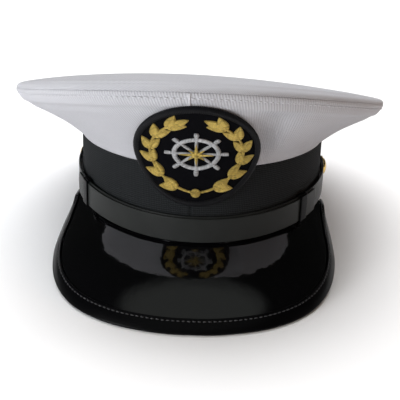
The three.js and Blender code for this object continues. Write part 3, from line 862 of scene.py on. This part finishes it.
SIDES = (("left", -1), ("right", 1))
for side, direction in SIDES:
    piece(
        f"crown_side_{side}_cloth", patch(260, 56, side_place(direction)), SIDE_TWILL,
        [f"crown_side_{side}"], CROWN_CLOTH,
    )

# Painted highlight: the seam's edge is coloured lighter than the cloth, so that its ridge reads
# bright.
piece("front_seam_edge", seam_edge(), SEAM_EDGE_HIGHLIGHT)

TOP_ROWS = 64
TOP_WAVE = 0.5
RIDGE_HEIGHT = 1.7  # how far the folded edges inside the rim lift the top at its front
RIDGE_AT, RIDGE_REACH = 0.967, 0.028  # shares of the way from the top's middle
# From the flat of the top over the rim to the seam: shares of the roll's inset and height
ROLL = (
    (1, 1), (0.78, 0.955), (0.58, 0.89), (0.42, 0.81), (0.29, 0.72), (0.19, 0.62), (0.115, 0.52),
    (0.06, 0.43), (0.025, 0.34), (0.005, 0.26), (0, 0.17), (0.015, 0.08), (0.05, 0),
)


def top_place(u, v):
    angle = math.tau * u
    row = round(v * (TOP_ROWS + len(ROLL) - 1))
    if row < TOP_ROWS:
        share = (row / TOP_ROWS) ** 0.5
        point = crown_top(angle, share)
        soft = TOP_WAVE * noise.noise(Vector((point.x / 45, point.y / 45, 7.7)))
        ridge = RIDGE_HEIGHT * mix(0.25, 1, max(0, math.cos(angle)))
        point.z += soft * (1 - share**6)
        point.z += ridge * hump(share, RIDGE_AT, RIDGE_REACH)
        reach = point.xy
    else:
        inset, up = ROLL[row - TOP_ROWS]
        point = rim(angle, ROLL_INSET * inset, ROLL_HEIGHT * up + 0.03)
        edge = rim(angle, ROLL_INSET, 0).xy
        reach = edge + edge.normalized() * (ROLL_INSET * (1 - inset) * 0.8 + ROLL_HEIGHT * (1 - up))
    return point, reach / 1000


piece(
    "crown_top_cloth", patch(300, TOP_ROWS + len(ROLL) - 1, top_place), TOP_TWILL,
    ["crown_top"], CROWN_CLOTH,
)


def stitch(start, end, outward, width, rise):
    """One stitch: a short thread that arches from one hole to the next."""
    mesh = bmesh.new()
    bmesh.ops.create_cone(
        mesh, cap_ends=False, segments=6, radius1=width / 2, radius2=width / 2, depth=1
    )
    bmesh.ops.subdivide_edges(
        mesh, edges=[e for e in mesh.edges if abs(e.verts[0].co.z - e.verts[1].co.z) > 0.5], cuts=3
    )
    lengthwise = end - start
    sideways = outward.cross(lengthwise).normalized()
    for vert in mesh.verts:
        t = vert.co.z + 0.5
        thin = 0.35 + 0.65 * math.sin(math.pi * clamp(t, 0.12, 0.88))
        vert.co = (
            start + lengthwise * t + sideways * vert.co.x * thin
            + outward * (vert.co.y * thin + rise * math.sin(math.pi * t) - width * 0.35)
        )
    bmesh.ops.holes_fill(mesh, edges=[e for e in mesh.edges if e.is_boundary])
    return mesh


def row_of_stitches(line, steps, length, width, rise):
    """Stitches of a length one after another with a small gap: line(share) gives a point of
    their row and the way outward there, and is asked for at so many steps."""
    points, normals = zip(*(line(k / steps) for k in range(steps + 1)))
    reach = [0.0]
    for a, b in zip(points, points[1:]):
        reach.append(reach[-1] + (b - a).length)
    count = int(reach[-1] / length)
    pitch = reach[-1] / count

    def at(distance):
        i = min(bisect.bisect_right(reach, distance), len(reach) - 1) - 1
        t = clamp((distance - reach[i]) / (reach[i + 1] - reach[i]))
        return points[i].lerp(points[i + 1], t), normals[i].lerp(normals[i + 1], t).normalized()

    made = []
    for k in range(count):
        start, normal = at((k + 0.16) * pitch)
        end, _ = at((k + 0.84) * pitch)
        made.append(stitch(start, end, normal, width, rise))
    return made


def rim_stitch_line(share):
    angle = radians(CROWN_SEAM) + math.tau * share
    row = side_row(angle, side_length(angle)[-1] - STITCH_DOWN)
    point, _, outward = side_frame(angle, row)
    return point + outward * 0.5, outward


rim_row = row_of_stitches(rim_stitch_line, 720, 3.6, 0.85, 0.35)
piece("rim_stitches", rim_row, WHITE_THREAD)

# Band

BAND_GROOVE = 1.1  # the seam at the band's front, and the cloth that stands beside it
BAND_LIP = 0.25


def band_place(t, out, up):
    angle = math.tau * t
    seam = abs(angle - radians(BAND_SEAM) % (math.tau)) * HEAD_HALF_LENGTH * 0.85
    relief = BAND_LIP * hump(seam, 1.7, 1.3) - BAND_GROOVE * (1 - ease(seam, 0.15, 0.8))
    ripple = 0.18 * noise.noise(Vector((math.sin(angle) * 5, math.cos(angle) * 5, up / 30)))
    if out > -BAND_CLOTH / 2:
        out += relief + ripple
    return settled(oval(angle, out, up))


def upright_section(inner, outer, low, high, rows, radius):
    """A wall's closed section with rounded edges and rows up its outer face."""
    ring = rounded([(inner, low), (outer, low), (outer, high), (inner, high)], radius)
    section = []
    for (x0, y0), (x1, y1) in zip(ring, ring[1:] + ring[:1]):
        section.append((x0, y0))
        if math.hypot(x1 - x0, y1 - y0) > 3:
            cuts = rows if x0 > (inner + outer) / 2 else 3
            shares = [k / cuts for k in range(1, cuts)]
            section += [(mix(x0, x1, share), mix(y0, y1, share)) for share in shares]
    return section


band_section = upright_section(-BAND_CLOTH, 0, 0, BAND_HEIGHT + 0.1, 14, 0.5)
piece(
    "band_cloth",
    carried(band_section, 520, band_place, math.tau * HEAD_RADIUS),
    BRAID, ["band"],
)

# Peak


@functools.cache
def peak_line(t):
    return PeakLine(radians(mix(PEAK_TURN - PEAK_HALF_ANGLE, PEAK_TURN + PEAK_HALF_ANGLE, t)))


def peak_place(t, share, depth):
    line = peak_line(t)
    return line.at((1 - share) * line.width, -depth * PEAK_LEATHER)


peak_section = [(k / 44, 0) for k in range(45)] + [(k / 10, 1) for k in range(10, -1, -1)]
piece(
    "peak_leather",
    carried(peak_section, 180, peak_place, 330),
    PATENT, ["peak"],
)

SKIN = SEAT + BINDING_LEATHER
# The binding's upper side from its sewn edge outward: shares of its width, and levels about its
# skin. Its stitches lie in the dip.
BINDING_FACE = (
    (1, -0.25), (0.985, -0.02), (0.95, 0.03), (0.9, 0.03), (0.85, -0.04), (0.81, -0.12),
    (0.77, -0.12), (0.72, -0.03), (0.6, 0.06), (0.4, 0.1), (0.2, 0.08), (0.08, 0),
)
BINDING_DIP = 0.79


def binding_section():
    """Strip folded round the edge: its outer side from above to below, then its inner side."""
    outer = [(inward, SKIN + level) for inward, level in BINDING_FACE]
    middle = -PEAK_LEATHER / 2
    half = SKIN - middle
    bead = []
    for k in range(13):
        a = math.pi / 2 - math.pi * k / 12
        bead.append((-SKIN * 1.05 * math.cos(a), middle + half * math.sin(a)))
    below = -PEAK_LEATHER - SKIN
    under = [(0.3, below), (1, below), (1, below + BINDING_LEATHER), (0, below + BINDING_LEATHER)]
    inner = [(-SEAT, -PEAK_LEATHER), (-SEAT, 0), (0, SEAT), (0.5, SEAT), (1, SEAT)]
    return outer + bead + under + inner


def binding_reach(line):
    return min(BINDING_WIDTH, line.width * 0.33)


def binding_place(t, inward, level):
    line = peak_line(t)
    reach = inward * binding_reach(line) if inward > 0 else inward
    return line.at(reach, level)


piece(
    "peak_binding_leather",
    carried(binding_section(), 240, binding_place, 360),
    BINDING, ["peak_binding"],
)


def binding_stitch_line(share):
    line = peak_line(mix(0.012, 0.988, share))
    inward = BINDING_DIP * binding_reach(line)
    up = line.at(inward, SKIN + 1) - line.at(inward, SKIN)
    return line.at(inward, SKIN + 0.02), up.normalized()


binding_row = row_of_stitches(binding_stitch_line, 360, 3.0, 0.85, 0.4)
piece("binding_stitches", binding_row, BLACK_THREAD)

# Chin strap

OUTER_LEVEL = STRAP_LEATHER + SEAT
STRAP_END = BUTTON_ANGLE + degrees_for(BUTTON_RADIUS + 2, BUTTON_ANGLE)


def strap_layer(start, end, level, width, round_ends):
    section = upright_section(level, level + STRAP_LEATHER, 0, width, 10, 0.28)
    half = width / 2

    def place(t, out, up):
        angle = mix(start, end, t)
        if round_ends:
            # the tips are rounded off, seen from the side
            pull = half - math.sqrt(max(0, half**2 - (up - half) ** 2))
            reach = min(angle - start, end - angle)
            turn = degrees_for(pull, angle) * 0.4 * (1 - ease(reach, 0, 8))
            angle += turn if angle - start < end - angle else -turn
        return strap_point(radians(angle), out, up)

    return carried(section, 220, place, radians(end - start) * HEAD_RADIUS)


STRAP_LAYERS = (
    ("inner", BUTTON_TURN - STRAP_END, BUTTON_TURN + STRAP_END, 0, STRAP_INNER_WIDTH, False),
    ("outer", STRAP_TIP_LEFT, STRAP_TIP_RIGHT, OUTER_LEVEL, STRAP_OUTER_WIDTH, True),
)
for layer, *form in STRAP_LAYERS:
    piece(
        f"strap_{layer}_leather", strap_layer(*form), SATIN, [f"strap_{layer}"]
    )


def keeper(tip):
    """A loop round both layers of the strap, with rounded edges."""
    middle = tip - math.copysign(STRAP_TIP_LENGTH, tip)
    half = degrees_for(KEEPER_WIDTH, middle) / 2
    near, far = -SEAT, OUTER_LEVEL + STRAP_LEATHER + SEAT
    low, high = -SEAT, STRAP_INNER_WIDTH + SEAT
    outline = rounded([(near, low), (far, low), (far, high), (near, high)], 0.7, 4)
    section = rounded([(0, -1), (1, -1), (1, 1), (0, 1)], 0.3, 3)
    count = len(outline)
    centre = Vector(((near + far) / 2, (low + high) / 2))

    def place(u, v):
        i = round(u * count) % count
        depth, across = section[round(v * len(section)) % len(section)]
        here = Vector(outline[i])
        before, after = Vector(outline[i - 1]), Vector(outline[(i + 1) % count])
        run = (after - before).normalized()
        normal = Vector((run.y, -run.x))
        if normal.dot(here - centre) < 0:
            normal = -normal
        here += normal * depth * KEEPER_LEATHER
        swell = 1 - 0.12 * math.sin(math.pi * clamp((here.y - low) / (high - low)))
        angle = radians(middle + half * across * swell)
        return strap_point(angle, here.x, here.y), (i / 200, v / 100)

    return patch(count, len(section), place, True)


for side, tip in (("left", STRAP_TIP_LEFT), ("right", STRAP_TIP_RIGHT)):
    piece(f"keeper_{side}_leather", keeper(tip), POLISHED, [f"keeper_{side}"])


def button(side):
    """A gilt dome with a rope-twist rim and a plain shank, seated on the strap's end."""
    angle = radians(side * BUTTON_ANGLE + BUTTON_TURN)
    inner = strap_point(angle, 0, STRAP_INNER_WIDTH / 2)
    outer = strap_point(angle, STRAP_LEATHER, STRAP_INNER_WIDTH / 2)
    outward = (outer - inner).normalized()
    foot = -STRAP_LEATHER - STRAP_SIDE_STAND + SEAT
    profile = [(0, foot), (SHANK_RADIUS, foot), (SHANK_RADIUS, SEAT), (BUTTON_RADIUS - 0.5, SEAT)]
    for k in range(9):
        a = -math.pi / 2 + math.pi * k / 8
        reach = BUTTON_RADIUS - ROPE_RADIUS + ROPE_RADIUS * math.cos(a)
        profile.append((reach, SEAT + ROPE_RADIUS + ROPE_RADIUS * math.sin(a)))
    dome = BUTTON_RADIUS - 2 * ROPE_RADIUS
    profile.append((dome + 0.1, SEAT + BUTTON_RIM - 0.15))
    for k in range(1, 13):
        a = math.pi / 2 * k / 12
        level = SEAT + BUTTON_RIM - 0.1 + (BUTTON_DOME - BUTTON_RIM) * math.sin(a)
        profile.append((dome * math.cos(a) if k < 12 else 0, level))
    frame_turn = Vector((0, 0, 1)).rotation_difference(outward).to_matrix()

    def place(t, reach, level):
        a = math.tau * t
        if BUTTON_RADIUS - 1.0 < reach and SEAT <= level:
            reach += ROPE_DEPTH * math.sin(ROPE_TURNS * a + level * 5)
        return outer + frame_turn @ Vector((reach * math.cos(a), reach * math.sin(a), level))

    return turned(profile, 168, place)


for side, sign in SIDES:
    piece(f"button_{side}_gilt", button(sign), GILT, [f"button_{side}"])

# Badge


def pad_place(t, share, level):
    across, up = ellipse(share, t, FELT_INSET)
    puff = 0.35 * noise.noise(Vector((across / 9, up / 9, 1.3))) if level > 1 else 0
    return badge_point(across, up, level + puff * (1 - share**4))


pad_profile = [(k / 8, 0) for k in range(9)] + [(1, BADGE_FELT)]
pad_profile += [(1 - k / 26, BADGE_FELT) for k in range(1, 27)]
piece("badge_felt_pad", turned(pad_profile, 160, pad_place), FELT, ["badge_pad"])


def border_mesh():
    section = [(0.2, 0.15), (BORDER_WIDTH - 0.2, 0.15)]
    for k in range(11):
        a = math.pi * k / 10
        level = BORDER_HEIGHT * (1 + 2 * math.sin(a)) / 3
        section.append((BORDER_WIDTH * (1 + math.cos(a)) / 2, level))

    def place(t, u, level):
        turn = math.sin(math.tau * (WRAPS * t + 0.35 * u))
        rib = WRAP_DEPTH * turn + 0.05 * math.sin(math.tau * WRAPS * 2.37 * t)
        middle = (BORDER_WIDTH / 2, 1.2)
        away = Vector((u - middle[0], level - middle[1]))
        grown = away * (1 + rib / max(0.8, away.length))
        u, level = middle[0] + grown.x, max(0.1, middle[1] + grown.y)
        return badge_point(*ellipse(1, t, BORDER_WIDTH - u), level)

    return carried(section, WRAPS * 5, place, WRAPS)


piece("badge_overlock_edge", border_mesh(), OVERLOCK, ["badge_border"])

THREAD_FLOOR = BADGE_FELT + 0.1


def slanted(mesh, length, width):
    """Lays the threads aslant on both halves of a shape whose lay runs along and across it."""
    lay = mesh.loops.layers.uv["lay"]
    top = max(loop[lay].uv.y for face in mesh.faces for loop in face.loops)

    def aslant(t, across):
        off = abs(across / top * 2.4 - 1)
        return t * length / 1000 + off * width / 2000 * 1.1, off * width / 2000

    return relaid(mesh, aslant)


def blade(start, axis, width, curl):
    """A satin-stitched leaf with a valley down its middle and threads slanting out from it."""
    side = Vector((-axis.y, axis.x)).normalized()

    def place(t, u, v):
        fat = LEAF_TIP + (1 - LEAF_TIP) * math.sin(math.pi * clamp(t) ** 0.76) ** 0.9
        middle = start + axis * t + side * curl * math.sin(math.pi * t)
        middle = middle + side * u * fat * width / 2
        rise = v - LEAF_VALLEY * hump(u, 0, 0.45) * v
        level = THREAD_FLOOR + LEAF_HEIGHT * rise * (0.35 + 0.65 * fat)
        return badge_point(middle.x, middle.y, level)

    return slanted(carried(lens(12), 22, place), axis.length, width)


def stem(side, share):
    angle = radians(mix(177, 24, share))
    inset = mix(STEM_FOOT_INSET, STEM_INSET, min(1, 2.5 * share))
    return Vector((
        side * (BADGE_HALF_WIDTH - STEM_INSET) * math.sin(angle),
        (BADGE_HALF_HEIGHT - inset) * math.cos(angle),
    ))


def wreath(side):
    def stalk(t, u, v):
        middle = stem(side, t)
        ahead = (stem(side, t + 0.01) - middle).normalized()
        return badge_point(
            middle.x - ahead.y * u * STEM_WIDTH / 2, middle.y + ahead.x * u * STEM_WIDTH / 2,
            THREAD_FLOOR + THREAD_HEIGHT * v,
        )

    made = [carried(lens(6), 60, stalk, 70)]

    def leaf(share, spread, size, curl):
        root = stem(side, share)
        ahead = (stem(side, share + 0.02) - root).normalized()
        axis = Matrix.Rotation(radians(spread), 2) @ ahead * LEAF_LENGTH * size
        made.append(blade(root, axis, LEAF_WIDTH * size, curl))

    leaf(0.97, 0, 0.85, 0)
    for i in range(LEAF_PAIRS):
        share = (i + 0.8) / (LEAF_PAIRS + 0.4)
        spread = mix(4, LEAF_SPREAD, min(1, 1.8 * share))
        leaf(share, side * spread, 1, -side * LEAF_CURL)
        leaf(share, -side * LEAF_SPREAD, 1, side * LEAF_CURL)
    return made


for side, sign in SIDES:
    piece(f"wreath_{side}_gold", wreath(sign), GOLD, [f"badge_wreath_{side}"])


def disc(radius, floor, height, y=0.0):
    """A round knot of thread with a low dome."""
    swing = [math.sin(math.pi / 2 * k / 5) for k in range(6)]
    profile = [(k / 5, 0) for k in range(6)]
    profile += [(1 - 0.02 * k * k, height * (0.35 + 0.65 * swing[k])) for k in range(1, 6)]
    profile += [(0.5 * (1 - k / 4), height * (1 + 0.35 * swing[k + 1])) for k in range(5)]

    def place(t, share, level):
        a = math.tau * t
        reach = radius * share
        return badge_point(reach * math.sin(a), y + reach * math.cos(a), floor + level)

    return relaid(turned(profile, 36, place), lambda t, across: (t * 0.02, across * 0.003))


UPPER_FLOOR = THREAD_FLOOR + THREAD_HEIGHT + 0.1
knot = disc(TIE_RADIUS, UPPER_FLOOR, 0.9, stem(1, 0).y)
piece("knot_gold", knot, GOLD, ["badge_tie"])


def ring_mesh():
    def place(t, u, v):
        a = math.tau * t
        reach = WHEEL_RADIUS + u * WHEEL_RIM / 2
        return badge_point(reach * math.sin(a), reach * math.cos(a), THREAD_FLOOR + 1.1 * v)

    def aslant(t, across):
        return t * math.tau * WHEEL_RADIUS / 1000 + across * 0.3, across

    return relaid(carried(lens(10), 120, place), aslant)


def bearing(angle):
    """The way outward at an angle round the badge's middle, and the way across it."""
    heading = Vector((-math.sin(angle), math.cos(angle)))
    return heading, Vector((heading.y, -heading.x))


def spoke(angle):
    heading, aside = bearing(angle)

    def place(t, u, v):
        reach = mix(HUB_RADIUS * 0.6, SPOKE_REACH, t)
        beyond = reach - WHEEL_RADIUS - 1
        wide = 0.75 + 0.25 * hump(t, 0.35, 0.3)
        if beyond > 0:
            # the handle beyond the rim, thick in its middle
            wide = 0.7 + 0.75 * math.sin(math.pi * clamp(beyond / 5.2, 0.05, 0.95)) ** 0.7
        at = heading * reach + aside * u * wide * SPOKE_WIDTH / 2
        return badge_point(at.x, at.y, THREAD_FLOOR + THREAD_HEIGHT * v)

    return carried(lens(6), 26, place, SPOKE_REACH)


wheel = [ring_mesh(), disc(HUB_RADIUS, THREAD_FLOOR, 1.0)]
wheel += [spoke(i * math.pi / 4) for i in range(8)]
piece("wheel_silver", wheel, SILVER, ["badge_wheel"])


def ray(angle, reach):
    heading, aside = bearing(angle)

    def place(t, u, v):
        at = heading * reach * t + aside * u * 1.35 * (1 - t) ** 0.9 + aside * u * 0.12
        ridge = v * (1 - 0.5 * abs(u))
        return badge_point(at.x, at.y, UPPER_FLOOR + 0.95 * ridge * (1 - 0.5 * t))

    return slanted(carried(lens(8), 14, place), reach, 2.6)


star = [ray(i * math.pi / 4, STAR_RADIUS * (0.68 if i % 2 else 1)) for i in range(8)]
star.append(disc(1.6, UPPER_FLOOR, 1.0))
piece("star_gold", star, GOLD, ["badge_star"])

# Floor, light and camera

floor_mesh = bmesh.new()
bmesh.ops.create_grid(floor_mesh, x_segments=1, y_segments=1, size=6)
floor_data = stored("floor", floor_mesh)
floor_paint = Finish("pale_floor", Roughness=0.9, Specular_IOR_Level=0.1)
floor_paint.paint(floor_paint.cloud(900, 1), (0.93, 0.93, 0.94), (0.96, 0.96, 0.97))
floor_data.materials.append(floor_paint.material)
linked("floor", floor_data)


def lamp(name, place, aim, width, height, power, color=(1, 1, 1), mirrored=True):
    data = bpy.data.lights.new(name, "AREA")
    data.shape = "RECTANGLE"
    data.size, data.size_y = width, height
    data.energy = power
    data.color = color
    thing = linked(name, data)
    thing.location = place
    thing.visible_glossy = mirrored
    thing.rotation_euler = (Vector(aim) - Vector(place)).to_track_quat("-Z", "Y").to_euler()


lamp("key", (-1.35, -1.0, 0.5), (0, 0, 0.06), 1.3, 0.8, 22.5, (0.98, 0.99, 1.0), False)
lamp("top", (-0.1, 0.8, 1.9), (0, 0.1, 0.0), 2.4, 1.2, 58, mirrored=False)
lamp("side", (1.5, -0.6, 0.45), (0, 0, 0.06), 0.6, 0.6, 4.2, (1.0, 0.60, 0.36), False)
lamp("glint", (-1.0, -1.2, 0.24), (-0.05, -0.1, 0.02), 0.5, 0.16, 6)

# A dim room, lighter where the peak mirrors it; the camera sees a plain pale ground
world = bpy.data.worlds.new("studio")
room = Tree(world, "ShaderNodeOutputWorld")
heading = room.node("ShaderNodeTexCoord", {}, {}, "Generated")
overhead = room.node(
    "ShaderNodeVectorMath", {"operation": "DOT_PRODUCT"}, {0: heading, 1: (0.02, -0.52, 0.85)},
    "Value",
)
glow = room.node(
    "ShaderNodeMapRange", {"interpolation_type": "SMOOTHERSTEP"},
    {"Value": overhead, "From Min": 0.74, "From Max": 0.93, "To Min": 0.014, "To Max": 0.30},
    "Result",
)
dim = room.node("ShaderNodeBackground", {}, {"Color": (0.95, 1.0, 0.95, 1), "Strength": glow})
pale = room.node("ShaderNodeBackground", {}, {"Color": (0.93, 0.94, 0.95, 1), "Strength": 1.0})
seen = room.node("ShaderNodeLightPath", {}, {}, "Is Camera Ray")
either = room.node("ShaderNodeMixShader", {}, {0: seen, 1: dim, 2: pale})
room.tree.links.new(either.socket, room.surface)
bpy.context.scene.world = world
bpy.context.scene.view_settings.view_transform = "Standard"

CAMERA_PLACE = Vector((9.225, -532.203, 167.188))
CAMERA_TURN = Euler((radians(71.892), radians(-1.864), radians(1.603)))
lens_data = bpy.data.cameras.new("camera")
lens_data.lens = 68.61
lens_data.sensor_width = 36
camera = linked("camera", lens_data)
camera.location = ON_TABLE @ CAMERA_PLACE
camera.rotation_euler = (Matrix.Rotation(-REST_TILT, 3, "X") @ CAMERA_TURN.to_matrix()).to_euler()
bpy.context.scene.camera = camera
